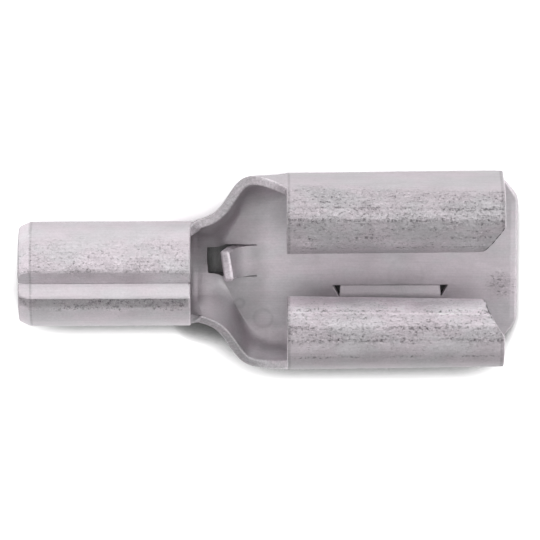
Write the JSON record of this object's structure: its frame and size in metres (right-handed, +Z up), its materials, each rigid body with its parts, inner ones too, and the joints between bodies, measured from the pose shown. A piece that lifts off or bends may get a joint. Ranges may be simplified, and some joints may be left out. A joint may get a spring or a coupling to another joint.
{
  "type": "female spade terminal",
  "caption": "Tin-plated brass push-on receptacle: rolled side grips over a flat floor, open shoulder with an upright wire stop, and a butted tube barrel to crimp a wire in.",
  "frame": {"origin": "under the middle of the box, on the surface that the terminal lies on", "axes": "+X points out of the blade opening along the terminal, +Z up out of the open side of the floor, +Y across"},
  "size_m": [0.0198, 0.008, 0.0041],
  "materials": {
    "tin_plate": "dull tin plate over brass sheet, lightly scuffed by the rolling tools"
  },
  "bodies": {
    "root": {"terminal": "tin_plate"}
  },
  "joints": []
}
